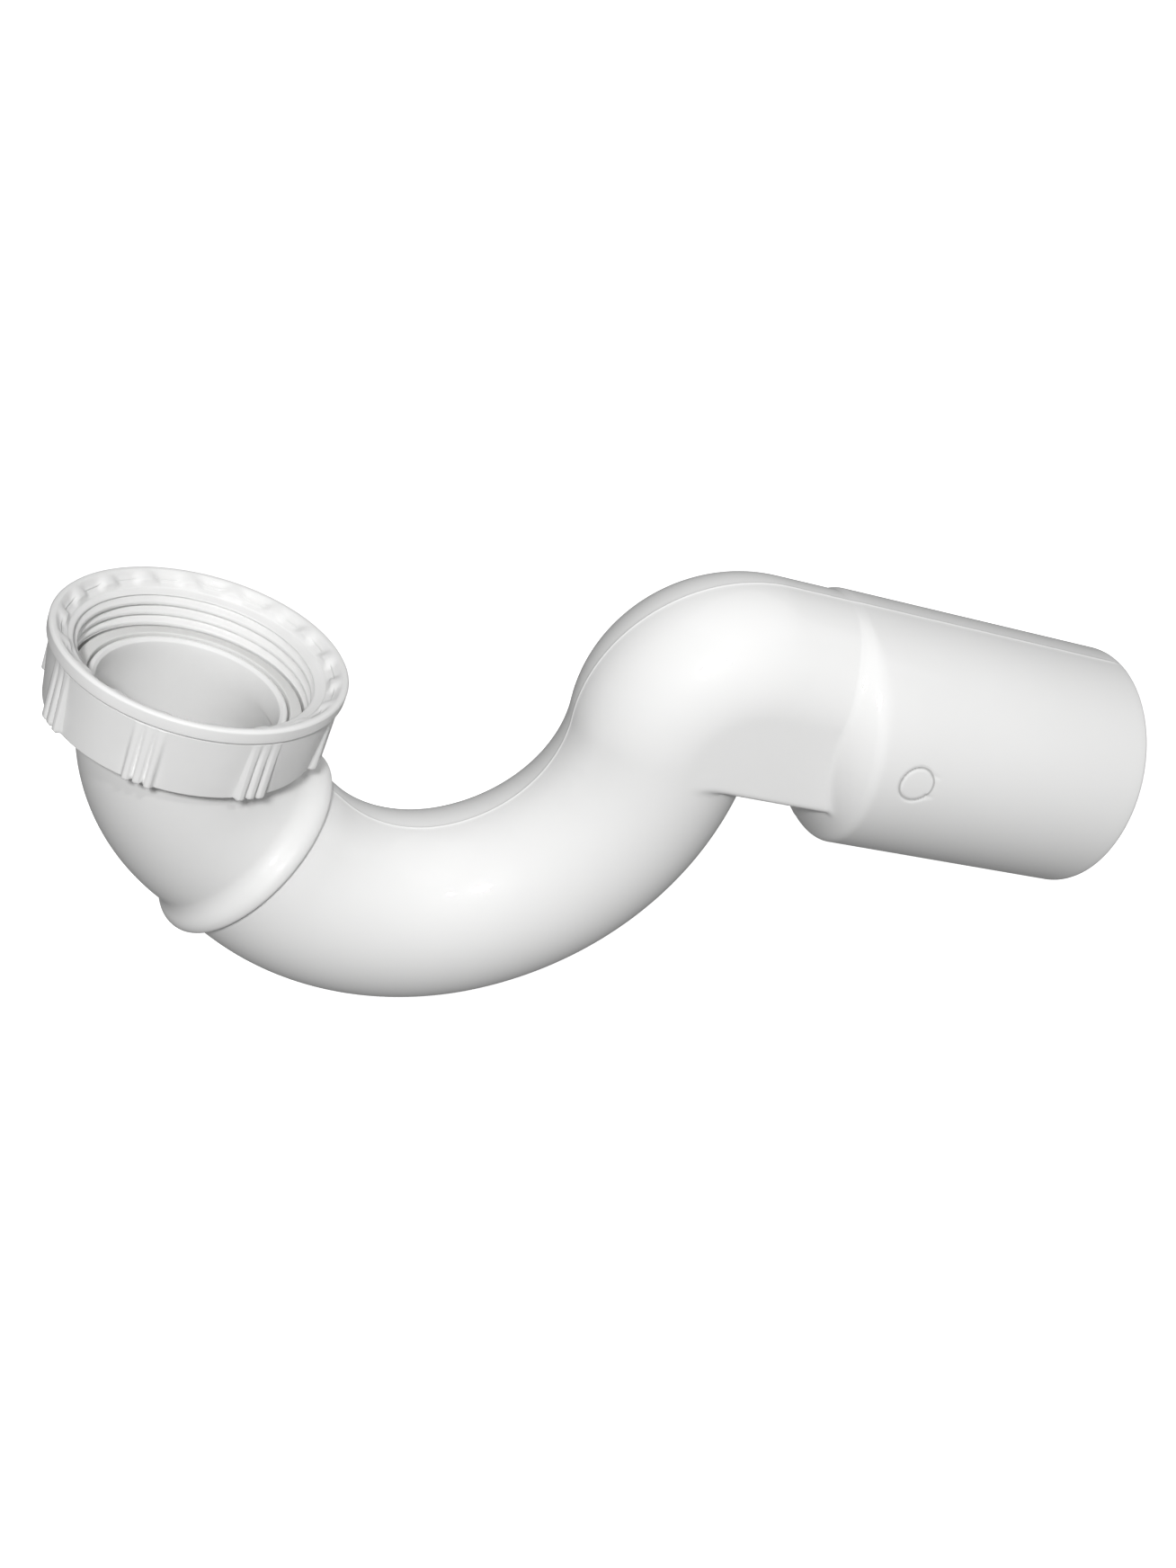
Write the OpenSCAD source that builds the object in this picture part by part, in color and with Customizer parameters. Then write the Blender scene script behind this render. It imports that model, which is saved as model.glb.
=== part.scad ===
// Low bath waste trap with a captive inlet nut, a bent inlet and an eccentric outlet spigot.
// Frame, mm: origin on the inlet axis at the top face of the sealing washer, +Z up towards the waste
// outlet that the nut draws down, +X along the outlet. The trap hangs from its inlet nut.

/* [Trap bend] */

// outside radius of the bent tube
tube_r = 20; // [19.5:0.05:20.5]
// wall thickness of the bent tube
tube_wall = 2.4; // [2:0.1:2.8]
// centreline radius of the first part of the low bend
bend_r1 = 43.1; // [41:0.1:46]
// centreline radius of the second part of the low bend
bend_r2 = 50; // [48:0.1:53]
// angle of the rising leg from the outlet axis, degrees
leg_angle = 98.7; // [96:0.1:101]
// centreline radius of the sharp upper bend
top_r = 14.3; // [13:0.1:16]

/* [Outlet] */

// outside radius of the outlet spigot
spigot_r = 27; // [26.5:0.05:28]
// wall thickness of the outlet spigot
spigot_wall = 2.4; // [2.2:0.1:3]
// drop of the spigot axis below the tube axis
spigot_drop = 6.9; // [6.5:0.1:6.9]
// length of the spigot past its shoulder
spigot_len = 63.7; // [45:0.1:80]
// straight length from the upper bend to the shoulder
neck_len = 14; // [12:0.5:20]
// length of the sloping shoulder
shoulder_len = 7.3; // [6:0.1:10]
// lean of the shoulder's end, longer below, degrees
shoulder_lean = 10; // [0:1:12]
// depth of the squared body below the tube axis at the outlet
block_depth = 19.7; // [18:0.1:20]
// radius of the round moulding mark on the spigot
mark_r = 3.9; // [3:0.1:5]

/* [Inlet elbow] */

// outside radius of the elbow
elbow_r = 19.9; // [19.5:0.05:20.1]
// bore radius of the elbow
elbow_bore_r = 17.6; // [17:0.1:17.8]
// angle of the elbow, degrees
elbow_angle = 56.7; // [50:0.1:62]
// centreline radius of the elbow
elbow_bend_r = 31.6; // [30:0.1:36]
// outside radius of the rounded socket collar
collar_r = 22.5; // [22.3:0.05:23.5]
// depth of the socket in the collar
socket_depth = 4.6; // [4:0.1:4.8]
// outside radius of the inlet flange
flange_r = 22.1; // [21.9:0.05:22.2]

/* [Coupling nut] */

// outside radius of the nut's rim band
nut_r = 28.5; // [28:0.1:30]
// radius of the nut's wall at its lower edge
nut_low_r = 26.4; // [26.2:0.1:27]
// height of the nut above the washer face
nut_top = 10.2; // [9.6:0.1:12]
// height of the nut's rim band
band_h = 3; // [2.4:0.1:4]
// inside radius over the thread crests
thread_r = 22.5; // [22.4:0.05:22.6]
// radius of the hole in the nut's floor
nut_hole_r = 20.6; // [20.5:0.05:20.9]
// number of rib groups round the nut
rib_groups = 8; // [4:1:8]
// number of scallops in the rim
scallops = 18; // [12:1:20]

/* [Washer] */

// thickness of the sealing washer
washer_t = 2; // [1.5:0.1:2.2]
// outside radius of the sealing washer
washer_r = 22; // [21.5:0.05:22.1]
// inside radius of the sealing washer
washer_bore_r = 19.6; // [19.5:0.05:19.9]

/* [Hidden] */

$fn = 128;
e = 0.01;
// hair-fine step between runs of one bar, as between the cores of the mould
st = 0.05;

bore_r = tube_r - tube_wall;
spigot_bore_r = spigot_r - spigot_wall;
flange_t = 2.2;
z_flange = -washer_t;
z_under = z_flange - flange_t;

// elbow path: a bend that starts inside the flange, then a short straight run to the collar's face
z_bend = -2.8;
elbow_run = 7;
in_a = elbow_angle - 90;
p_bend = [elbow_bend_r, z_bend];
p_run = [elbow_bend_r * (1 - cos(elbow_angle)), z_bend - elbow_bend_r * sin(elbow_angle)];
t_in = [sin(elbow_angle), -cos(elbow_angle)];
p_col = p_run + elbow_run * t_in;

// trap path: a straight lead, two arcs of the low bend, the upper bend and the outlet run
lead = 7.2;
mid_a = 25;
p_lead = p_col + lead * t_in;
c1 = p_lead + bend_r1 * [-sin(in_a), cos(in_a)];
p_mid = c1 + bend_r1 * [sin(mid_a), -cos(mid_a)];
c2 = p_mid + bend_r2 * [-sin(mid_a), cos(mid_a)];
p_leg = c2 + bend_r2 * [sin(leg_angle), -cos(leg_angle)];
c3 = p_leg + top_r * [sin(leg_angle), -cos(leg_angle)];
z_out = c3[1] + top_r;
x_sh = c3[0] + neck_len;
x_sp = x_sh + shoulder_len;
x_end = x_sp + spigot_len;
z_sp = z_out - spigot_drop;

// an arc of round bar in the XZ plane about [x, z], from angle a0 through da
module arc_bar(c, rc, r, a0, da) {
    translate([c[0], 0, c[1]]) rotate([90, 0, 0])
        rotate_extrude(angle = da, start = a0)
            translate([rc, 0]) circle(r = r);
}

// the outer part of a bend that is tighter than its bar
module tight_bar(c, rc, r, a0, da) {
    translate([c[0], 0, c[1]]) rotate([90, 0, 0])
        rotate_extrude(angle = da, start = a0)
            intersection() {
                translate([rc, 0]) circle(r = r);
                translate([0, -r - 1]) square([rc + r + 1, 2 * r + 2]);
            }
}

// a straight bar in the XZ plane from [x, z] towards angle a
module run_bar(p, a, r, l) {
    translate([p[0], 0, p[1]]) rotate([0, 90 - a, 0]) cylinder(r = r, h = l);
}

module along_x(x, z, r, l) {
    translate([x, 0, z]) rotate([0, 90, 0]) cylinder(r = r, h = l);
}

// the space past the leaning end of the shoulder
module past(off, l = 200) {
    translate([x_sp, 0, z_sp]) rotate([0, -shoulder_lean, 0]) translate([off, -60, -60]) cube([l, 120, 120]);
}

// a round disc cut along the shoulder's leaning end
module lean_disc(r, off, l) {
    intersection() {
        along_x(x_sp - 12, z_sp, r, 30, $fn = 64);
        past(off, l);
    }
}

// the sloping shoulder of the bore
module bore_slope() {
    hull() {
        along_x(x_sh + 1, z_out, bore_r + 2 * st, e, $fn = 96);
        lean_disc(spigot_bore_r - st, 1.8, e);
    }
}

// the sloping shoulder that meets the spigot in a rounded edge
module shoulder() {
    hull() {
        along_x(x_sh, z_out, tube_r + 2 * st, e, $fn = 96);
        for (i = [0:3]) let (a = 45 - i * 15)
            lean_disc(spigot_r - 2 - st + 2 * cos(a), 1 - 2 * sin(a), i < 3 ? e : 1);
    }
}

// squared body that fills the inside of the upper bend and the run to the shoulder
module block() {
    translate([0, tube_r + 0.1, 0]) rotate([90, 0, 0]) linear_extrude(2 * tube_r + 0.2) intersection() {
        union() {
            translate(c3) circle(r = top_r);
            translate([c3[0], z_out - block_depth]) square([x_sp - c3[0] + 1.5, block_depth]);
        }
        translate([c3[0] - 40, z_out - block_depth]) square([100, 60]);
    }
}

module spigot_bar() {
    // lead-in at the mouth
    intersection() {
        translate([0, 0, z_sp]) rotate([0, 90, 0]) rotate_extrude()
            polygon([[0, x_sp - 12], [spigot_r, x_sp - 12], [spigot_r, x_end - 1.2], [spigot_r - 0.7, x_end], [0, x_end]]);
        past(1.2);
    }
}

module trap_bend() {
    color([0.93, 0.93, 0.92]) difference() {
        union() {
            run_bar(p_col - (socket_depth - 0.2) * t_in, in_a, tube_r - 0.35, socket_depth);
            run_bar(p_col, in_a, tube_r + st, lead);
            arc_bar(c1, bend_r1, tube_r, in_a - 91, mid_a - in_a + 2);
            arc_bar(c2, bend_r2, tube_r + st, mid_a - 90, leg_angle - mid_a);
            tight_bar(c3, top_r, tube_r, 88.5, leg_angle + 3);
            along_x(c3[0], z_out, tube_r + st, x_sh + 0.5 - c3[0]);
            block();
            shoulder();
            spigot_bar();
        }
        run_bar(p_col - (socket_depth + 1) * t_in, in_a, bore_r + st, socket_depth + 1 + lead);
        arc_bar(c1, bend_r1, bore_r, in_a - 91, mid_a - in_a + 2);
        arc_bar(c2, bend_r2, bore_r + st, mid_a - 90, leg_angle - mid_a);
        tight_bar(c3, top_r, bore_r, 88.5, leg_angle + 3);
        along_x(c3[0], z_out, bore_r + st, x_sh + 1.3 - c3[0]);
        bore_slope();
        intersection() {
            along_x(x_sp - 12, z_sp, spigot_bore_r, spigot_len + 14);
            past(1.8);
        }
        // fine round mark left by the mould on the near side of the spigot
        translate([x_sp + 9.4, -spigot_r - 1, z_sp + 2.4]) rotate([-90, 0, 0]) difference() {
            cylinder(r = mark_r, h = 1.35);
            translate([0, 0, -1]) cylinder(r = mark_r - 0.3, h = 4);
        }
    }
}

module inlet_elbow() {
    color([0.88, 0.88, 0.87]) difference() {
        union() {
            // flange with a low nose inside the washer
            translate([0, 0, z_under]) rotate_extrude() polygon([
                [0, 0], [flange_r - 0.3, 0], [flange_r, 0.3], [flange_r, flange_t - 0.3], [flange_r - 0.3, flange_t],
                [19.3, flange_t], [19.3, flange_t + washer_t - 0.8], [18.9, flange_t + washer_t - 0.3], [0, flange_t + washer_t - 0.3]]);
            arc_bar(p_bend, elbow_bend_r, elbow_r, 180, elbow_angle + 1);
            run_bar(p_run, in_a, elbow_r + st, elbow_run - 1);
            // collar: hollow sweep up to a rounded rim
            translate([p_col[0], 0, p_col[1]]) rotate([0, 90 - in_a, 0]) rotate_extrude()
                polygon(concat(
                    [[0, -elbow_run + 0.2], [elbow_r + 2 * st, -elbow_run + 0.2]],
                    [for (i = [1:6]) let (a = i * 10) [elbow_r + 2 * st + 3 * (1 - cos(a)), -elbow_run + 0.2 + 3 * sin(a)]],
                    [for (i = [0:6]) let (a = 60 - i * 10) [collar_r - 2 + 2 * cos(a), -1.9 - 2 * sin(a)]],
                    [[collar_r, -0.5], [collar_r - 0.25, 0], [0, 0]]));
        }
        translate([0, 0, z_bend]) cylinder(r = elbow_bore_r + st, h = 10);
        translate([0, 0, -1.7]) rotate_extrude() polygon(concat(
            [[0, 0], [elbow_bore_r + st, 0]],
            [for (i = [0:4]) let (a = 180 - i * 22.5) [elbow_bore_r + 1.1 + 1.1 * cos(a), 1.4 - 1.1 + 1.1 * sin(a)]],
            [[elbow_bore_r + 1.1, 3], [0, 3]]));
        arc_bar(p_bend, elbow_bend_r, elbow_bore_r, 179, elbow_angle + 2);
        run_bar(p_run, in_a, elbow_bore_r + st, elbow_run + 1);
        run_bar(p_col - socket_depth * t_in, in_a, tube_r - 0.35, socket_depth - 0.1);
        run_bar(p_col - 0.15 * t_in, in_a, tube_r, 1);
    }
}

module coupling_nut() {
    z_low = -6.4;
    z_in = z_under - 0.4;
    z_band = nut_top - band_h;
    z_cb = nut_top - 2.9;
    color([0.86, 0.86, 0.85]) difference() {
        union() {
            rotate_extrude() polygon([
                [0, z_low], [nut_low_r - 0.6, z_low], [nut_low_r, z_low + 0.5],
                [nut_r - 0.75, z_band - 0.3], [nut_r - 0.4, z_band], [nut_r, z_band + 0.35],
                [nut_r, nut_top - 0.6], [nut_r - 0.5, nut_top], [0, nut_top]]);
            // groups of three upright ribs
            for (g = [0:rib_groups - 1]) for (k = [-1:1])
                rotate([0, 0, -20 + g * 360 / rib_groups + k * 4.4])
                    translate([nut_low_r - 1.6, -0.75, z_low + 0.2]) cube([nut_r - 0.75 - nut_low_r + 1.6, 1.5, z_band - z_low - 0.2]);
        }
        translate([0, 0, z_low - 1]) cylinder(r = nut_hole_r, h = 4);
        // clearance round the flange and washer
        translate([0, 0, z_in]) cylinder(r = thread_r + 0.5, h = -z_in);
        translate([0, 0, -1]) cylinder(r = thread_r, h = nut_top + 2);
        // smooth lead-in above the thread, then the sloping ledge of the rim
        translate([0, 0, z_cb]) cylinder(r1 = 24.5, r2 = 25, h = 3);
        translate([0, 0, nut_top - 1.2]) cylinder(r1 = 25.3, r2 = 27.3, h = 1.21);
        // scallops in the ledge
        for (i = [0:scallops - 1]) rotate([0, 0, 3 + i * 360 / scallops])
            translate([25.2, 0, nut_top - 0.2]) sphere(r = 2.6);
    }
}

module sealing_washer() {
    color([0.8, 0.8, 0.79]) translate([0, 0, -washer_t]) difference() {
        cylinder(r = washer_r, h = washer_t);
        translate([0, 0, -1]) cylinder(r = washer_bore_r, h = washer_t + 2);
    }
}

trap_bend();
inlet_elbow();
coupling_nut();
sealing_washer();
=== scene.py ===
import math
import bpy
import numpy as np
from mathutils import Matrix, Vector


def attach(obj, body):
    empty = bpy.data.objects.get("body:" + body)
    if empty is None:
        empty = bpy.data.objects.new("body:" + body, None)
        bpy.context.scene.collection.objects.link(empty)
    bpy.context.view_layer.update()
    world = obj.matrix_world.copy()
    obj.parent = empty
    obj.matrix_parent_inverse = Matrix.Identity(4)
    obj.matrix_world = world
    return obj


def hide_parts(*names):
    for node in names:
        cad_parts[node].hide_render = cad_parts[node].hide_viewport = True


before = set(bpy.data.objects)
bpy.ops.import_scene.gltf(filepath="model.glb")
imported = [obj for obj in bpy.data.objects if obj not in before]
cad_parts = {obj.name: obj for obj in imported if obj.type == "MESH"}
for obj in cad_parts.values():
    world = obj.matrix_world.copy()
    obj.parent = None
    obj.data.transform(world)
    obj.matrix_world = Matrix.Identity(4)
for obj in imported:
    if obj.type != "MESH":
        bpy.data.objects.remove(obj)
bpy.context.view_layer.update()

# ------------------------------------------------------------------ shared figures of the part, mm
TUBE, BORE = 20.0, 17.6
R1, R2, RT = 43.1, 50.0, 14.3
LEG = math.radians(98.7)
SPIG, SPIG_BORE, DROP = 27.0, 24.6, 6.9
EA = math.radians(56.7)
ER = 31.6
Z_BEND = -2.8
IN_A = EA - math.pi / 2
T_IN = np.array([math.sin(EA), -math.cos(EA)])
N_IN = np.array([-math.sin(IN_A), math.cos(IN_A)])
P_BEND = np.array([ER, Z_BEND])
P_RUN = np.array([ER * (1 - math.cos(EA)), Z_BEND - ER * math.sin(EA)])
P_COL = P_RUN + 7.0 * T_IN
LEAD = 7.2
MID = math.radians(25)
C1 = P_COL + LEAD * T_IN + R1 * N_IN
P_MID = C1 + R1 * np.array([math.sin(MID), -math.cos(MID)])
C2 = P_MID + R2 * np.array([-math.sin(MID), math.cos(MID)])
P_LEG = C2 + R2 * np.array([math.sin(LEG), -math.cos(LEG)])
C3 = P_LEG + RT * np.array([math.sin(LEG), -math.cos(LEG)])
T_LEG = np.array([math.cos(LEG), math.sin(LEG)])
Z_OUT = C3[1] + RT
X_SH = C3[0] + 14.0
X_SP = X_SH + 7.3
X_END = X_SP + 63.7
Z_SP = Z_OUT - DROP
Z_BLOCK = Z_OUT - 19.7
LEAN = math.tan(math.radians(10))


def ss(t):
    t = np.clip(t, 0, 1)
    return t * t * (3 - 2 * t)


def smin(a, b, k):
    k = np.maximum(k, 1e-6)
    h = np.clip(0.5 + 0.5 * (b - a) / k, 0, 1)
    return b * (1 - h) + a * h - k * h * (1 - h)


def smax(a, b, k):
    return -smin(-a, -b, k)


# ------------------------------------------------------------------ meshes from closed grids
def grid_object(name, rings):
    """rings: (rows, columns, 3) in mm, closed both ways. Gives one watertight quad mesh."""
    rows, cols, _ = rings.shape
    co = rings.reshape(-1, 3) / 1000.0
    i = np.arange(rows)[:, None]
    j = np.arange(cols)[None, :]
    i2, j2 = (i + 1) % rows, (j + 1) % cols
    quads = np.stack([i * cols + j, i * cols + j2, i2 * cols + j2, i2 * cols + j], -1).reshape(-1, 4)
    a, b, c, d = (co[quads[:, n]] for n in range(4))
    volume = (np.einsum("ij,ij->i", a, np.cross(b, c)) + np.einsum("ij,ij->i", a, np.cross(c, d))).sum()
    if volume < 0:
        quads = quads[:, ::-1]
    me = bpy.data.meshes.new(name)
    me.vertices.add(len(co))
    me.vertices.foreach_set("co", np.ascontiguousarray(co, np.float32).ravel())
    me.loops.add(quads.size)
    me.loops.foreach_set("vertex_index", np.ascontiguousarray(quads, np.int32).ravel())
    me.polygons.add(len(quads))
    me.polygons.foreach_set("loop_start", np.arange(0, quads.size, 4, dtype=np.int32))
    me.update(calc_edges=True)
    me.validate()
    me.polygons.foreach_set("use_smooth", np.ones(len(me.polygons), bool))
    me.update()
    ob = bpy.data.objects.new(name, me)
    bpy.context.scene.collection.objects.link(ob)
    return ob


def spaced(points, step):
    """Points added along a polyline of (a, b) pairs so that no gap is over step."""
    out = [np.array(points[0], float)]
    for p in points[1:]:
        p = np.array(p, float)
        n = max(1, int(math.ceil(np.linalg.norm(p - out[-1]) / step)))
        q = out[-1]
        out += [q + (p - q) * (k + 1) / n for k in range(n)]
    return np.array(out)


def rounded(points, radius, n=4):
    """An open polyline of (a, b) with its inner corners rounded. radius: one number or one per point."""
    P = [np.array(p, float) for p in points]
    rad = [radius] * len(P) if np.isscalar(radius) else list(radius)
    out = [P[0]]
    for k in range(1, len(P) - 1):
        u, v = P[k - 1] - P[k], P[k + 1] - P[k]
        lu, lv = np.linalg.norm(u), np.linalg.norm(v)
        u, v = u / lu, v / lv
        cosw = np.clip(u @ v, -1, 1)
        half = math.acos(cosw) / 2
        if rad[k] <= 0 or half > math.radians(88):
            out.append(P[k])
            continue
        cut = min(rad[k] / math.tan(half), lu * 0.48, lv * 0.48)
        r = cut * math.tan(half)
        centre = P[k] + (u + v) / np.linalg.norm(u + v) * (r / math.sin(half))
        a, b = P[k] + u * cut - centre, P[k] + v * cut - centre
        for t in np.linspace(0, 1, n + 1):
            w = a * (1 - t) + b * t
            out.append(centre + w / np.linalg.norm(w) * r)
    out.append(P[-1])
    return np.array(out)


# ------------------------------------------------------------------ trap bend
HALF = 112          # columns round half the tube, seam to seam
SEAM_Y = [0.0, 0.13, 0.27, 0.5]
SEAM_H = [0.16, 0.12, 0.04, 0.0]
RAYS = 181


def spig_end(z):
    return X_SP - LEAN * (z - Z_SP)


def leg_side(x, z):
    return (x - C3[0]) * T_LEG[0] + (z - C3[1]) * T_LEG[1]


def body_q(x, z):
    """Signed distance outside the centreline of the leg, the upper bend and the neck."""
    q2 = R2 - np.hypot(x - C2[0], z - C2[1])
    q3 = np.hypot(x - C3[0], z - C3[1]) - RT
    qn = z - Z_OUT
    low = leg_side(x, z) < 0
    right = x >= C3[0]
    return np.where(right, np.where(low, np.maximum(q2, qn), qn), np.where(low, q2, q3))


def f_outer(x, y, z):
    q = body_q(x, z)
    inside = ss(-q / 7.0)
    plate = np.where(q > 0, np.hypot(np.maximum(q, 0), y), np.abs(y)) - TUBE
    block = smax(plate, Z_BLOCK - z, 1.7 * inside)
    leg = np.maximum(np.hypot(R2 - np.hypot(x - C2[0], z - C2[1]), y) - TUBE, leg_side(x, z))
    body = smin(leg, block, 1.0 * inside)
    s = np.minimum((x - X_SH) / (spig_end(z) - X_SH), 3)
    cone = 0.75 * (np.hypot(y, z - (Z_OUT - DROP * s)) - (TUBE + (SPIG - TUBE) * s))
    spig = np.hypot(y, z - Z_SP) - SPIG
    high = (z - Z_SP) / SPIG
    end = smax(cone, spig, 1.1 * ss((1 - high) / 0.4))
    end = np.maximum(end, X_SH - x)
    body = np.maximum(body, x - (X_SP + 1.5))
    return smin(body, end, 0.9 * ss((1 - (z - Z_OUT) / TUBE) / 0.4))


def f_bore(x, y, z):
    d3 = np.hypot(x - C3[0], z - C3[1])
    low = leg_side(x, z)
    leg = np.maximum(np.hypot(R2 - np.hypot(x - C2[0], z - C2[1]), y) - BORE, low)
    bend = np.where((low >= 0) & (x < C3[0]), np.hypot(d3 - RT, y) - BORE, 9.0)
    neck = np.maximum(np.maximum(np.hypot(z - Z_OUT, y) - BORE, C3[0] - x), x - X_SH - 1.3)
    x0 = X_SH + 1.0
    s = np.clip((x - x0) / (spig_end(z) + 1.8 - x0), 0, 1)
    cone = np.hypot(y, z - (Z_OUT - DROP * s)) - (BORE + (SPIG_BORE - BORE) * s)
    cone = np.maximum(cone, x0 - x)
    return np.minimum(np.minimum(leg, bend), np.minimum(neck, cone))


def cast(f, mid, side, theta, reach=46.0):
    """Distance from mid (S, 2) along cos t * side + sin t * Y to the first zero of f. theta: (S, K)."""
    dx = np.cos(theta) * side[:, None, 0]
    dz = np.cos(theta) * side[:, None, 1]
    dy = np.sin(theta)
    mx, mz = mid[:, None, 0], mid[:, None, 1]
    lo = np.full(theta.shape, 6.0)
    hi = np.full(theta.shape, reach)
    live = np.ones(theta.shape, bool)
    for t in np.arange(6.5, reach, 0.5):
        v = f(mx + t * dx, t * dy, mz + t * dz)
        newly = live & (v > 0)
        hi[newly] = t
        live &= ~newly
        lo[live] = t
    for _ in range(16):
        m = (lo + hi) / 2
        v = f(mx + m * dx, m * dy, mz + m * dz) > 0
        hi = np.where(v, m, hi)
        lo = np.where(v, lo, m)
    return (lo + hi) / 2


def spread(mid, side, f, mark):
    """Angles of the columns, (S, HALF + 1), for one half: even along the outline, closer at its corners."""
    coarse = np.linspace(0, math.pi, RAYS)[None, :].repeat(len(mid), 0)
    t = cast(f, mid, side, coarse)
    u, w = t * np.cos(coarse), t * np.sin(coarse)
    du, dw = np.diff(u, axis=1), np.diff(w, axis=1)
    length = np.hypot(du, dw)
    heading = np.unwrap(np.arctan2(dw, du), axis=1)
    turn = np.abs(np.diff(heading, axis=1))
    turn = np.pad(turn, ((0, 0), (0, 1)))
    weight = length + 3.0 * np.maximum(turn - 0.03, 0)
    if mark is not None:
        angle = (coarse[:, 1:] + coarse[:, :-1]) / 2
        weight = weight * (1 + 2.4 * mark[:, None] * np.exp(-(((angle - MARK_T) / 0.17) ** 4)))
    total = np.cumsum(np.pad(weight, ((0, 0), (1, 0))), axis=1)
    total /= total[:, -1:]
    kernel = np.exp(-0.5 * (np.arange(-4, 5) / 2.0) ** 2)
    kernel /= kernel.sum()
    padded = np.pad(total, ((4, 4), (0, 0)), mode="edge")
    total = sum(kernel[n] * padded[n:n + len(mid)] for n in range(9))
    r0, r1 = t[:, 0], t[:, -1]
    out = np.zeros((len(mid), HALF + 1))
    k = len(SEAM_Y)
    for s in range(len(mid)):
        a = np.arcsin(np.array(SEAM_Y) / r0[s])
        b = math.pi - np.arcsin(np.array(SEAM_Y) / r1[s])
        fa, fb = np.interp([a[-1], b[-1]], coarse[s], total[s])
        body = np.interp(np.linspace(fa, fb, HALF + 3 - 2 * k), total[s], coarse[s])
        out[s] = np.concatenate([a[:-1], body, b[:-1][::-1]])
    return out


MARK_X, MARK_Z, MARK_R = X_SP + 9.4, Z_SP + 2.4, 3.75
MARK_T = math.pi / 2 + math.asin(2.4 / SPIG)


def sections(outer):
    """Section planes of the whole bend: mid point, direction to the inside of the low bend, row by row."""
    step = 1.08 if outer else 2.1
    A, B = [], []

    def put(c, n, r=TUBE):
        A.append(c + n * r)
        B.append(c - n * r)

    if outer:
        rows = [-4.4, -4.25, -3.6, -2.4, -1.2, -0.25, -0.12, 0.0, 0.12, 0.35]
    else:
        rows = [-4.4, -4.1, -2.2, 0.0]
    n = int(LEAD / step)
    rows += list(np.linspace(rows[-1], LEAD, n + 1)[1:])
    for s in rows:
        put(P_COL + s * T_IN, -N_IN)
    head = len(rows)
    for c, r, a0, a1 in ((C1, R1, IN_A, MID), (C2, R2, MID, math.radians(72))):
        n = int((a1 - a0) * r / step)
        for a in np.linspace(a0, a1, n + 1)[1:]:
            u = np.array([math.sin(a), -math.cos(a)])
            put(c + r * u, u)
    start = len(A)
    # the joined part: key pairs along the inner and outer outline in the mid-plane
    top = TUBE + RT
    low = R2 + TUBE
    corner = math.acos(-(Z_BLOCK - C2[1]) / low)
    inner, outer_line, keys = [], [], []
    for a in np.linspace(math.radians(72), corner, 40):
        inner.append(C2 + low * np.array([math.sin(a), -math.cos(a)]))
    ka = [0, len(inner) - 1]
    x_c = X_SH - 0.25
    inner.append(np.array([x_c, Z_BLOCK]))
    ka.append(len(inner) - 1)
    z_b = Z_SP - SPIG
    inner.append(np.array([spig_end(z_b), z_b]))
    ka.append(len(inner) - 1)
    inner.append(np.array([150.0, z_b]))
    ka.append(len(inner) - 1)
    kb = [0]
    for a in np.linspace(math.radians(72), LEG, 30):
        outer_line.append(C2 + (R2 - TUBE) * np.array([math.sin(a), -math.cos(a)]))
    for a in np.linspace(LEG, 0, 120)[1:]:
        outer_line.append(C3 + top * np.array([-math.sin(a), math.cos(a)]))
        if len(kb) == 1 and a <= math.radians(74):
            kb.append(len(outer_line) - 1)
    outer_line.append(np.array([X_SH - 5.2, Z_OUT + TUBE]))
    kb.append(len(outer_line) - 1)
    z_t = Z_SP + SPIG
    outer_line.append(np.array([spig_end(z_t), z_t]))
    kb.append(len(outer_line) - 1)
    outer_line.append(np.array([150.0, z_t]))
    kb.append(len(outer_line) - 1)

    def run(line):
        d = np.linalg.norm(np.diff(np.array(line), axis=0), axis=1)
        return np.concatenate([[0], np.cumsum(d)])

    la, lb = run(inner), run(outer_line)
    IA, OB = np.array(inner), np.array(outer_line)
    fine = 0.62 if outer else 1.6
    for k in range(4):
        a0, a1, b0, b1 = la[ka[k]], la[ka[k + 1]], lb[kb[k]], lb[kb[k + 1]]
        span = max(a1 - a0, b1 - b0)
        if k == 3 and outer:
            # closer rows over the round mark
            x0 = spig_end(z_b)
            n = int(round(8.3 / 0.3))
            xs = np.concatenate([[x0 + 0.35], MARK_X - 4.15 + np.arange(n + 1) * 0.3, np.linspace(MARK_X + 4.6, 150, 6)])
            t = np.clip((xs - x0) / (150.0 - x0), 0, 1)
        else:
            stepk = step if k in (0,) else (fine if k == 2 else step * 0.9)
            n = max(2, int(math.ceil(span / stepk)))
            t = np.linspace(0, 1, n + 1)[1:]
            if outer and k == 0:
                t = 1 - (1 - t) ** 1.25
        for v in t:
            pa = a0 + (a1 - a0) * v
            pb = b0 + (b1 - b0) * v
            A.append(np.array([np.interp(pa, la, IA[:, 0]), np.interp(pa, la, IA[:, 1])]))
            B.append(np.array([np.interp(pb, lb, OB[:, 0]), np.interp(pb, lb, OB[:, 1])]))
    stop = len(A)
    n = int((X_END - 150.0) / (step * 1.15))
    for x in np.linspace(150.0, X_END, n + 1)[1:-1]:
        put(np.array([x, Z_SP]), np.array([0.0, -1.0]), SPIG)
    return np.array(A), np.array(B), head, start, stop


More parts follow.
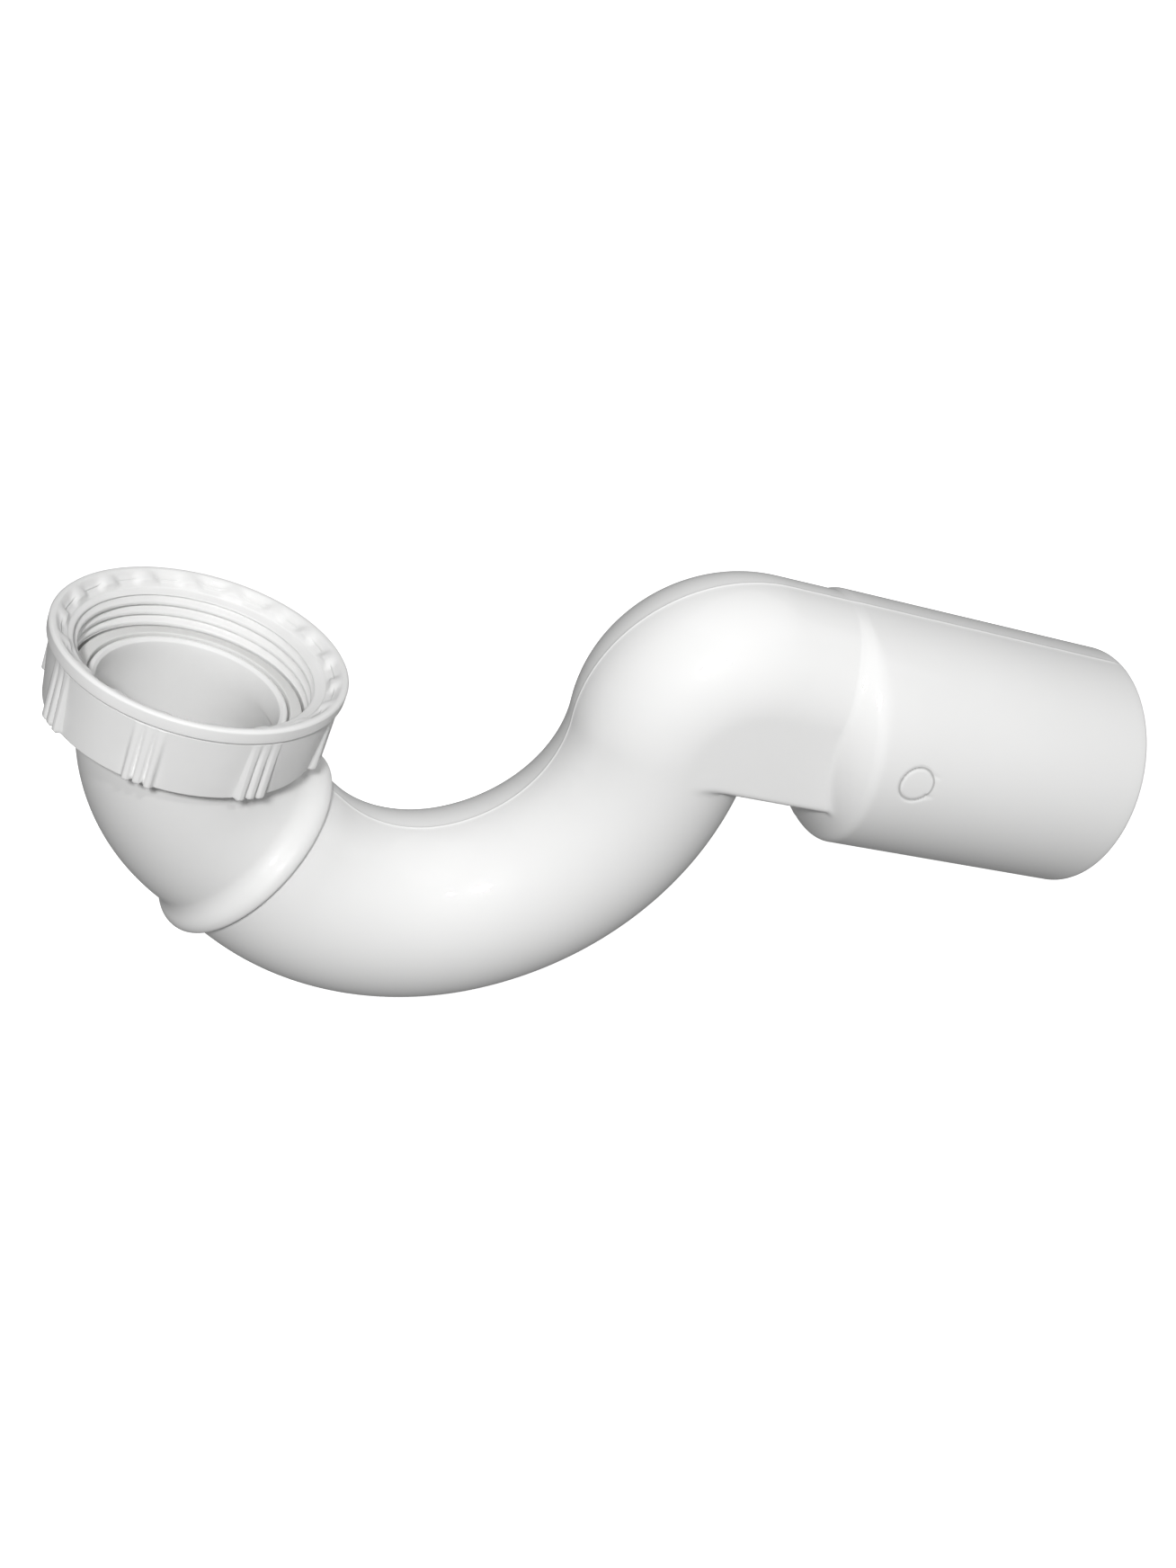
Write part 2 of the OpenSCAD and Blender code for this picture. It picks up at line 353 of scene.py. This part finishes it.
def bend_rows(outer):
    A, B, head, start, stop = sections(outer)
    mid = (A + B) / 2
    side = A - mid
    side /= np.linalg.norm(side, axis=1)[:, None]
    f = f_outer if outer else f_bore
    R_end = SPIG if outer else SPIG_BORE
    n = len(A)
    even = np.linspace(0, math.pi, HALF + 1)
    # how strongly the columns gather at the mark, by row
    near = ss((mid[:, 0] - 118.0) / 16.0) * (1 - ss((mid[:, 0] - 148.0) / 16.0))
    near[:start] = 0
    mark = near if outer else near * 0.0
    halves = []
    for is_minus in (True, False):
        theta = np.zeros((n, HALF + 1))
        dist = np.zeros((n, HALF + 1))
        mk = mark[start - 1:stop + 1] if is_minus else None
        th = spread(mid[start - 1:stop + 1], side[start - 1:stop + 1], f, mk)
        theta[start - 1:stop + 1] = th
        dist[start - 1:stop + 1] = cast(f, mid[start - 1:stop + 1], side[start - 1:stop + 1], th)
        # plain round rows: the same spread law on a circle
        k = len(SEAM_Y)
        for s in list(range(0, start - 1)) + list(range(stop + 1, n)):
            r = np.linalg.norm(A[s] - B[s]) / 2
            if s < start - 1:
                r = TUBE if outer else BORE
            else:
                r = R_end
            a = np.arcsin(np.array(SEAM_Y) / r)
            if is_minus and s > stop and mark[s] > 0:
                grid = np.linspace(0, math.pi, 721)
                wgt = 1 + 2.4 * mark[s] * np.exp(-(((grid - MARK_T) / 0.17) ** 4))
                cum = np.concatenate([[0], np.cumsum((wgt[1:] + wgt[:-1]) / 2)])
                cum /= cum[-1]
                fa, fb = np.interp([a[-1], math.pi - a[-1]], grid, cum)
                body = np.interp(np.linspace(fa, fb, HALF + 3 - 2 * k), cum, grid)
            else:
                body = np.linspace(a[-1], math.pi - a[-1], HALF + 3 - 2 * k)
            theta[s] = np.concatenate([a[:-1], body, (math.pi - a[:-1])[::-1]])
            dist[s] = r
        halves.append((theta, dist))
    # end of the run that goes into the socket, and its small step at the collar's face
    if outer:
        for s in range(head):
            along = (mid[s] - P_COL) @ T_IN
            r = TUBE - 0.35 if along < -0.2 else (TUBE - 0.2 if along < -0.06 else TUBE - 0.04 * (along < 0.06))
            if along < -4.3:
                r -= 0.25
            for theta, dist in halves:
                dist[s] = r
    hump = np.zeros(HALF + 1)
    if outer:
        k = len(SEAM_Y)
        hump[:k] = SEAM_H
        hump[-k:] = SEAM_H[::-1]
    rings = np.zeros((n, 2 * HALF, 3))
    for sign, (theta, dist) in zip((-1, 1), halves):
        d = dist + np.where(np.arange(n)[:, None] >= head - 6, hump[None, :], 0)
        px = mid[:, None, 0] + d * np.cos(theta) * side[:, None, 0]
        pz = mid[:, None, 1] + d * np.cos(theta) * side[:, None, 1]
        py = sign * d * np.sin(theta)
        P = np.stack([px, py, pz], -1)
        if sign < 0:
            rings[:, :HALF + 1] = P
        else:
            rings[:, HALF + 1:] = P[:, 1:-1][:, ::-1]
    if outer:
        # the fine round mark
        x, y, z = rings[..., 0], rings[..., 1], rings[..., 2]
        rho = np.hypot(x - MARK_X, z - MARK_Z)
        dip = 0.42 * np.exp(-((rho - MARK_R) / 0.24) ** 2) + 0.05 * ss((MARK_R - rho) / 0.4)
        dip = np.where((y < 0) & (x > 134), dip, 0)
        ry, rz = y / SPIG, (z - Z_SP) / SPIG
        rings[..., 1] -= dip * ry
        rings[..., 2] -= dip * rz
    return rings


def end_rows(ring_out, ring_in, centre, axis, r_out, r_in, steps):
    """Rows between an outer and an inner ring: steps are (along axis, share from outer to inner)."""
    out = []
    for along, share in steps:
        out.append(ring_out * (1 - share) + ring_in * share + axis * along)
    return np.array(out)


def build_bend():
    outer, inner = bend_rows(True), bend_rows(False)
    ax = np.array([1.0, 0, 0])

    def ring_at(ring, x, r, r0):
        c = np.array([0, 0, Z_SP])
        v = ring * np.array([0, 1, 1]) - c * np.array([0, 1, 1])
        n = np.linalg.norm(v[:, 1:], axis=1)
        v[:, 1:] *= (r / r0)
        return v + np.array([x, 0, Z_SP])

    last_out, last_in = outer[-1], inner[-1]
    base_out = last_out.copy()
    base_in = last_in.copy()
    r_o = np.linalg.norm((base_out - [0, 0, Z_SP])[:, 1:], axis=1)[:, None]
    r_i = np.linalg.norm((base_in - [0, 0, Z_SP])[:, 1:], axis=1)[:, None]
    dir_o = (base_out - [0, 0, Z_SP])[:, 1:] / r_o
    dir_i = (base_in - [0, 0, Z_SP])[:, 1:] / r_i
    lip = [(-0.95, 0.0), (-0.6, -0.05), (-0.3, -0.17), (-0.1, -0.36), (0.0, -0.62)]
    rows = []
    for along, dr in lip:
        r = SPIG + dr
        rows.append(np.column_stack([np.full(len(dir_o), X_END + along), dir_o[:, 0] * r, Z_SP + dir_o[:, 1] * r]))
    for share in (0.25, 0.5, 0.75):
        d = dir_o * (1 - share) + dir_i * share
        d /= np.linalg.norm(d, axis=1)[:, None]
        r = (SPIG - 0.62) * (1 - share) + (SPIG_BORE + 0.3) * share
        rows.append(np.column_stack([np.full(len(d), X_END), d[:, 0] * r, Z_SP + d[:, 1] * r]))
    for along, dr in [(0.0, 0.3), (-0.1, 0.12), (-0.35, 0.0)]:
        r = SPIG_BORE + dr
        rows.append(np.column_stack([np.full(len(dir_i), X_END + along), dir_i[:, 0] * r, Z_SP + dir_i[:, 1] * r]))
    keep_o = outer[:, 0, 0] < X_END - 1.3
    keep_i = inner[:, 0, 0] < X_END - 0.8
    outer, inner = outer[keep_o | (np.arange(len(outer)) < 40)], inner[keep_i | (np.arange(len(inner)) < 40)]
    mouth = np.array(rows)
    # the plain end in the socket: a flat ring with eased edges
    o, i = outer[0], inner[0]
    flat = np.array([i * (1 - t) + o * t for t in (0.3, 0.7)])
    rings = np.concatenate([outer, mouth, inner[::-1], flat])
    return grid_object("trap_bend_moulding", rings)


# ------------------------------------------------------------------ inlet elbow
def build_elbow():
    cols = 224
    th = np.arange(cols) / cols * 2 * math.pi
    rows = []

    def disc(r, z):
        rows.append(np.column_stack([r * np.cos(th), r * np.sin(th), np.full(cols, z)]))

    def swept(s, r, ease=9.0):
        """A round row at s mm along the elbow's path from its start."""
        arc = ER * EA
        if s <= arc:
            a = s / ER
            c = P_BEND + ER * np.array([-math.cos(a), -math.sin(a)])
            tilt = a
        else:
            c = P_RUN + (s - arc) * T_IN
            tilt = EA
        if s < ease:
            tilt *= ss(np.array(max(s - 0.8, 0) / (ease - 0.8))) * 0.25 + 0.75 * max(s - 0.8, 0) / (ease - 0.8)
        u = np.array([math.cos(tilt), math.sin(tilt)])
        rows.append(np.column_stack([c[0] + r * np.cos(th) * u[0], r * np.sin(th), c[1] + r * np.cos(th) * u[1]]))

    # nose and flange, from the bore outwards and down
    nose = rounded([[17.65, -2.4], [17.75, -0.95], [18.35, -0.33], [19.0, -0.36], [19.3, -0.85], [19.3, -2.0], [22.1, -2.0],
                    [22.1, -4.2], [20.15, -4.2], [19.95, -4.45]],
                   [0, 0.4, 0.35, 0.3, 0.3, 0.12, 0.3, 0.3, 0.12, 0], 3)
    for r, z in spaced(nose, 0.9):
        disc(r, z)
    arc = ER * EA
    total = arc + 7.0
    for s in np.concatenate([[2.2, 2.8], np.arange(3.5, total - 6.8, 0.72)]):
        swept(s, 19.95)
    # concave run-out and the rounded bead of the collar: (from the face, radius)
    bead = [(-6.75, 19.95), (-6.3, 19.99), (-5.8, 20.09), (-5.3, 20.24), (-4.8, 20.45), (-4.35, 20.7), (-3.95, 20.98),
            (-3.6, 21.27), (-3.3, 21.54), (-3.0, 21.78), (-2.7, 21.99), (-2.4, 22.16), (-2.1, 22.30), (-1.8, 22.40), (-1.45, 22.47),
            (-1.1, 22.50), (-0.75, 22.49), (-0.45, 22.44), (-0.22, 22.34), (-0.07, 22.2), (0.0, 22.0), (0.0, 21.3), (0.0, 20.6), (0.0, 20.12),
            (-0.05, 20.03), (-0.12, 20.0), (-0.5, 20.0), (-0.55, 19.9), (-0.6, 19.66), (-1.5, 19.65), (-3.0, 19.65), (-4.42, 19.65), (-4.5, 19.55),
            (-4.5, 18.6), (-4.5, 17.75), (-4.6, 17.66)]
    for d, r in bead:
        swept(total + d, r)
    for s in np.arange(total - 6.0, 2.2, -1.4):
        swept(s, 17.65)
    disc(17.65, -4.1)
    return grid_object("inlet_elbow_moulding", np.array(rows))


# ------------------------------------------------------------------ sealing washer
def build_washer():
    cols = 192
    th = np.arange(cols) / cols * 2 * math.pi
    prof = rounded([[20.8, 0.0], [22.0, 0.0], [22.0, -2.0], [19.6, -2.0], [19.6, 0.0], [20.8, 0.0]], 0.28, 4)[:-1]
    prof = spaced(np.vstack([prof, prof[:1]]), 0.5)[:-1]
    rows = [np.column_stack([r * np.cos(th), r * np.sin(th), np.full(cols, z)]) for r, z in prof]
    return grid_object("sealing_washer_ring", np.array(rows))


# ------------------------------------------------------------------ coupling nut
def build_nut():
    cols = 540
    th = np.arange(cols) / cols * 2 * math.pi
    deg = np.degrees(th)
    TOP, LOW, BAND = 10.2, -6.4, 7.2
    PITCH, CREST = 2.309, 22.5
    rng = np.random.default_rng(7)
    # how far each column is into a rib, and where that rib ends below
    rib = np.zeros(cols)
    foot = np.full(cols, LOW + 0.45)
    gap = np.zeros(cols)
    for g in range(8):
        for k in (-1, 0, 1):
            c = -20 + g * 45 + k * 4.4
            d = (deg - c + 180) % 360 - 180
            m = ss((1.95 - np.abs(d)) / 0.75)
            rib = np.maximum(rib, m)
            foot = np.where(np.abs(d) < 2.2, LOW + 0.12 + 0.28 * rng.random(), foot)
        for k in (-0.5, 0.5):
            c = -20 + g * 45 + k * 4.4
            d = (deg - c + 180) % 360 - 180
            gap = np.maximum(gap, np.exp(-(d / 0.55) ** 2))
    ripple = 0.012 * np.sin(3 * th + 0.4) + 0.008 * np.sin(5 * th + 2.0)

    def wall(z):
        return 26.4 + (27.75 - 26.4) * np.clip((z - LOW) / (BAND - 0.3 - LOW), 0, 1)

    rows = []

    def put(r, z):
        rows.append(np.column_stack([r * np.cos(th), r * np.sin(th), z + 0 * th]))

    # underside, outwards
    for r in (21.6, 22.6, 23.6, 24.6, 25.4):
        put(r + 0 * th, LOW)
    put(25.85 + 0 * th, LOW + 0.02)
    put(26.1 + 0 * th, LOW + 0.12)
    zs = np.concatenate([[0.22, 0.32, 0.42, 0.5, 0.58, 0.68, 0.8, 1.0], np.arange(1.4, BAND - LOW - 0.9, 0.55),
                         [BAND - LOW - 0.75, BAND - LOW - 0.6, BAND - LOW - 0.5]])
    for dz in zs:
        z = LOW + dz
        base = wall(z) - 0.25 * math.exp(-((dz - 0.1) / 0.18) ** 2)
        up = ss((z - foot) / 0.22)
        height = rib * up * np.maximum(27.82 - base, 0) * (1 - 0.35 * np.exp(-((z - foot) / 0.35) ** 2) * rib)
        put(base + height + ripple - 0.16 * gap * ss((1.3 - dz) / 0.8), z)
    # fine line under the band, the band and the lip
    band = rounded([[27.72, BAND - 0.42], [27.6, BAND - 0.3], [27.62, BAND - 0.06], [28.22, BAND + 0.06], [28.46, BAND + 0.42], [28.5, 8.6],
                    [28.5, 9.75], [28.22, 10.08], [27.9, 10.2], [27.62, 10.2]],
                   [0, 0.08, 0.1, 0.14, 0.3, 0.2, 0.3, 0.25, 0.2, 0], 3)
    for r, z in spaced(band, 0.5):
        put(r + ripple, z)
    # sloping ledge with lens-shaped scoops, down into the smooth lead-in
    scoop_at = (deg - 3 + 10) % 20 - 10
    ledge = rounded([[27.62, 10.2], [27.28, 10.13], [25.4, 9.15], [25.05, 8.85], [24.9, 8.3], [24.55, 7.45], [24.2, 7.25]],
                    [0, 0.25, 0.3, 0.3, 0.4, 0.3, 0], 3)
    ledge = spaced(ledge, 0.26)
    for r, z in ledge[1:]:
        a = np.abs(np.radians(scoop_at) * 26.3)
        fade = min(max((z - 7.6) / 1.25, 0.0), 1.0)
        lens = ss((3.95 - a) / 2.7) * fade
        dip = 0.8 * lens * float(ss(np.array((27.25 - r) / 1.15)))
        land = 0.12 * np.exp(-((a - 4.59) / 0.8) ** 2) * math.exp(-((r - 26.2) / 0.9) ** 2)
        put(r + 0.34 * lens * (r < 25.7), z - dip + land)
    # thread: a real right-hand helix that runs out at both ends
    put(23.9 + 0 * th, 7.16)
    zt = np.arange(7.05, -0.05, -0.165)
    for z in zt:
        phase = ((z - 6.0) / PITCH - (deg - 79) / 360.0 + 0.5) % 1.0 - 0.5
        v = np.clip(1 - np.abs(phase) / 0.36, 0, 1)
        depth = 1.2 * np.minimum(v * 1.12, 0.97) ** 0.95
        fade = ss((7.15 - z) / 0.5) * ss((z + 0.15) / 0.7)
        lead = 1.3 * ss((z - 6.55) / 0.6)
        put(CREST + np.maximum(depth * fade, lead) + 0 * th, z)
    # relief round the flange, the floor and the hole
    low = rounded([[CREST, -0.1], [23.0, -0.3], [23.0, -4.6], [20.6, -4.6], [20.6, LOW], [21.6, LOW]],
                  [0, 0.2, 0.5, 0.35, 0.35, 0], 4)
    for r, z in spaced(low, 0.8)[:-1]:
        put(r + 0 * th, z)
    return grid_object("coupling_nut_moulding", np.array(rows))


# ------------------------------------------------------------------ materials
def plastic(name, tone, rough, coat, grain, mottle, mark=False):
    m = bpy.data.materials.new(name)
    m.use_nodes = True
    nt = m.node_tree
    nt.nodes.clear()
    N, L = nt.nodes.new, nt.links.new
    out = N("ShaderNodeOutputMaterial")
    bs = N("ShaderNodeBsdfPrincipled")
    L(bs.outputs["BSDF"], out.inputs["Surface"])
    tc = N("ShaderNodeTexCoord")
    big = N("ShaderNodeTexNoise")
    big.inputs["Scale"].default_value = 38.0
    big.inputs["Detail"].default_value = 4.0
    small = N("ShaderNodeTexNoise")
    small.inputs["Scale"].default_value = 1400.0
    small.inputs["Detail"].default_value = 2.0
    flow = N("ShaderNodeTexNoise")
    flow.inputs["Scale"].default_value = 210.0
    flow.inputs["Detail"].default_value = 6.0
    flow.inputs["Distortion"].default_value = 0.0
    for n in (big, small, flow):
        L(tc.outputs["Object"], n.inputs["Vector"])
    ramp = N("ShaderNodeMapRange")
    ramp.inputs["From Min"].default_value = 0.3
    ramp.inputs["From Max"].default_value = 0.7
    ramp.inputs["To Min"].default_value = 1 - mottle
    ramp.inputs["To Max"].default_value = 1 + mottle * 0.4
    L(big.outputs["Fac"], ramp.inputs["Value"])
    ramp2 = N("ShaderNodeMapRange")
    ramp2.inputs["From Min"].default_value = 0.25
    ramp2.inputs["From Max"].default_value = 0.75
    ramp2.inputs["To Min"].default_value = 1 - mottle * 0.25
    ramp2.inputs["To Max"].default_value = 1.0
    L(flow.outputs["Fac"], ramp2.inputs["Value"])
    mul = N("ShaderNodeMath")
    mul.operation = "MULTIPLY"
    L(ramp.outputs["Result"], mul.inputs[0])
    L(ramp2.outputs["Result"], mul.inputs[1])
    col = N("ShaderNodeMix")
    col.data_type = "RGBA"
    col.blend_type = "MULTIPLY"
    col.inputs["Factor"].default_value = 1.0
    col.inputs["A"].default_value = (tone[0], tone[1], tone[2], 1)
    comb = N("ShaderNodeCombineColor")
    for k in ("Red", "Green", "Blue"):
        L(mul.outputs["Value"], comb.inputs[k])
    L(comb.outputs["Color"], col.inputs["B"])
    base_col = col.outputs["Result"]
    # with mark set: painted shade, a dark grey line mixed into the base colour along the groove of the round mark,
    # where y is below -20 mm
    if mark:
        sep = N("ShaderNodeSeparateXYZ")
        L(tc.outputs["Object"], sep.inputs["Vector"])

        def calc(op, a, b=None):
            n = N("ShaderNodeMath")
            n.operation = op
            for k, v in enumerate((a, b)):
                if v is None:
                    continue
                if isinstance(v, float):
                    n.inputs[k].default_value = v
                else:
                    L(v, n.inputs[k])
            return n.outputs["Value"]

        dx = calc("SUBTRACT", sep.outputs["X"], MARK_X / 1000)
        dz = calc("SUBTRACT", sep.outputs["Z"], MARK_Z / 1000)
        rho = calc("SQRT", calc("ADD", calc("MULTIPLY", dx, dx), calc("MULTIPLY", dz, dz)))
        off = calc("ABSOLUTE", calc("SUBTRACT", rho, MARK_R / 1000))
        line = N("ShaderNodeMapRange")
        line.inputs["From Min"].default_value = 0.00012
        line.inputs["From Max"].default_value = 0.00034
        line.inputs["To Min"].default_value = 0.6
        line.inputs["To Max"].default_value = 0.0
        L(off, line.inputs["Value"])
        near = calc("LESS_THAN", sep.outputs["Y"], -0.02)
        painted_groove_shade = calc("MULTIPLY", line.outputs["Result"], near)
        shade = N("ShaderNodeMix")
        shade.data_type = "RGBA"
        L(painted_groove_shade, shade.inputs["Factor"])
        L(base_col, shade.inputs["A"])
        # colour of the painted shade in the round mark's groove
        shade.inputs["B"].default_value = (0.34, 0.34, 0.335, 1)
        base_col = shade.outputs["Result"]
    L(base_col, bs.inputs["Base Color"])
    rr = N("ShaderNodeMapRange")
    rr.inputs["From Min"].default_value = 0.3
    rr.inputs["From Max"].default_value = 0.7
    rr.inputs["To Min"].default_value = rough * 0.93
    rr.inputs["To Max"].default_value = rough * 1.07
    L(flow.outputs["Fac"], rr.inputs["Value"])
    L(rr.outputs["Result"], bs.inputs["Roughness"])
    bs.inputs["IOR"].default_value = 1.49
    bs.inputs["Specular IOR Level"].default_value = 0.1 if mark else 0.3
    bs.inputs["Coat Weight"].default_value = coat
    bs.inputs["Coat Roughness"].default_value = 0.04
    bs.inputs["Coat IOR"].default_value = 1.45
    b1 = N("ShaderNodeBump")
    b1.inputs["Strength"].default_value = 1.0
    b1.inputs["Distance"].default_value = grain
    L(small.outputs["Fac"], b1.inputs["Height"])
    b2 = N("ShaderNodeBump")
    b2.inputs["Strength"].default_value = 1.0
    b2.inputs["Distance"].default_value = grain * 4
    L(big.outputs["Fac"], b2.inputs["Height"])
    L(b1.outputs["Normal"], b2.inputs["Normal"])
    L(b2.outputs["Normal"], bs.inputs["Normal"])
    return m


bend = build_bend()
elbow = build_elbow()
nut = build_nut()
washer = build_washer()

mats = {
    # mark=True also paints shade as a dark line along the round mark's groove
    "bend": plastic("bend_gloss_white", (0.88, 0.88, 0.875), 0.42, 0.75, 0.0000030, 0.014, mark=True),
    "elbow": plastic("elbow_satin_white", (0.82, 0.82, 0.815), 0.46, 0.12, 0.0000060, 0.04),
    "nut": plastic("nut_satin_white", (0.82, 0.82, 0.815), 0.50, 0.08, 0.0000070, 0.045),
    "washer": plastic("washer_pale_rubber", (0.72, 0.72, 0.71), 0.62, 0.0, 0.0000120, 0.06),
}
for ob, key, node, body, slot in ((bend, "bend", "trap_bend", "trap", "bend_gloss"),
                                  (elbow, "elbow", "inlet_elbow", "trap", "elbow_satin"),
                                  (nut, "nut", "coupling_nut", "nut", "nut_satin"),
                                  (washer, "washer", "sealing_washer", "trap", "washer_rubber")):
    ob.data.materials.append(mats[key])
    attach(ob, body)
    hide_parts(node)
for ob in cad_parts.values():
    ob.data.materials.clear()
    ob.data.materials.append(mats["bend"])

# ------------------------------------------------------------------ camera at the photo's viewing angle
RX, RY, RZ = 0.5171662375471365, -0.32307847098910164, 0.2902568574241024
T = np.array([-72.46023436855934, -2.3649912197717478, 319.64933971042257])
F_PX, CX, CY = 1880.8834762653805, 653.033276014711, 730.0852506399921


def rot(v):
    t = np.linalg.norm(v)
    k = np.array(v) / t
    K = np.array([[0, -k[2], k[1]], [k[2], 0, -k[0]], [-k[1], k[0], 0]])
    return np.eye(3) + math.sin(t) * K + (1 - math.cos(t)) * K @ K


base = np.array([[1.0, 0, 0], [0, 0, -1.0], [0, 1.0, 0]])
R = rot([RX, RY, RZ]) @ base
eye = -R.T @ T
eye[2] += 10.2
cam_data = bpy.data.cameras.new("photo_camera")
cam = bpy.data.objects.new("photo_camera", cam_data)
bpy.context.scene.collection.objects.link(cam)
axes = np.stack([R[0], -R[1], -R[2]], 1)
mw = np.eye(4)
mw[:3, :3] = axes
mw[:3, 3] = eye / 1000.0
cam.matrix_world = Matrix(mw.tolist())
cam_data.sensor_fit = "AUTO"
cam_data.sensor_width = 36.0
cam_data.lens = 36.0 * F_PX / 1744.0
cam_data.shift_x = -(CX - 654.0) / 1744.0
cam_data.shift_y = (CY - 872.0) / 1744.0
cam_data.clip_start = 0.01
cam_data.clip_end = 20
bpy.context.scene.camera = cam

# ------------------------------------------------------------------ pale floor that curves up behind
FLOOR_Z = (C1[1] - R1 - TUBE - 0.35) / 1000.0


def build_floor():
    prof = [(0.0, 0.0), (0.3, 0.0), (0.6, 0.0), (0.9, 0.0)]
    for a in np.linspace(0, math.pi / 2, 13)[1:]:
        prof.append((0.9 + 0.5 * math.sin(a), 0.5 * (1 - math.cos(a))))
    prof.append((1.4, 2.4))
    n = 72
    verts = [(0.075, 0.0, FLOOR_Z)]
    for r, z in prof[1:]:
        verts += [(0.075 + r * math.cos(k * 2 * math.pi / n), r * math.sin(k * 2 * math.pi / n), FLOOR_Z + z) for k in range(n)]
    faces = [(0, 1 + k, 1 + (k + 1) % n) for k in range(n)]
    for i in range(len(prof) - 2):
        a, b = 1 + i * n, 1 + (i + 1) * n
        faces += [(a + k, b + k, b + (k + 1) % n, a + (k + 1) % n) for k in range(n)]
    me = bpy.data.meshes.new("floor")
    me.from_pydata(verts, [], faces)
    me.polygons.foreach_set("use_smooth", np.ones(len(me.polygons), bool))
    me.update()
    ob = bpy.data.objects.new("floor", me)
    bpy.context.scene.collection.objects.link(ob)
    m = bpy.data.materials.new("floor_pale")
    m.use_nodes = True
    b = m.node_tree.nodes["Principled BSDF"]
    b.inputs["Base Color"].default_value = (0.9, 0.9, 0.9, 1)
    b.inputs["Roughness"].default_value = 0.8
    b.inputs["Emission Color"].default_value = (1, 1, 1, 1)
    b.inputs["Emission Strength"].default_value = 0.75
    me.materials.append(m)
    return ob


floor = build_floor()
floor.visible_diffuse = False
floor.visible_glossy = False
bpy.context.scene.view_settings.view_transform = "Standard"

# ------------------------------------------------------------------ soft studio light
world = bpy.data.worlds.new("studio")
bpy.context.scene.world = world
world.use_nodes = True
bg = world.node_tree.nodes["Background"]
bg.inputs["Color"].default_value = (1, 1, 1, 1)
bg.inputs["Strength"].default_value = 0.21

aim = Vector((0.075, 0.0, -0.005))


def area(name, pos, size, power, target=aim, size_y=None):
    d = bpy.data.lights.new(name, "AREA")
    d.energy = power
    d.size = size
    if size_y:
        d.shape = "RECTANGLE"
        d.size_y = size_y
    o = bpy.data.objects.new(name, d)
    bpy.context.scene.collection.objects.link(o)
    p = Vector(pos)
    o.location = p
    o.rotation_euler = (Vector(target) - p).to_track_quat("-Z", "Y").to_euler()
    return o


eye_m = Vector(eye / 1000.0)
toward = (eye_m - aim).normalized()
area("key", aim + toward * 0.60 + Vector((-0.03, 0.0, 0.05)), 0.05, 2.75)
area("second", aim + toward * 0.60 + Vector((0.10, 0.02, 0.13)), 0.022, 0.5)
area("top", (0.05, 0.05, 0.75), 0.9, 1.05)
away = Vector((-toward.x, -toward.y, 0)).normalized()
back = area("back", aim + away * 0.8 + Vector((0, 0, 0.10)), 0.6, 1.8)
back.visible_glossy = False
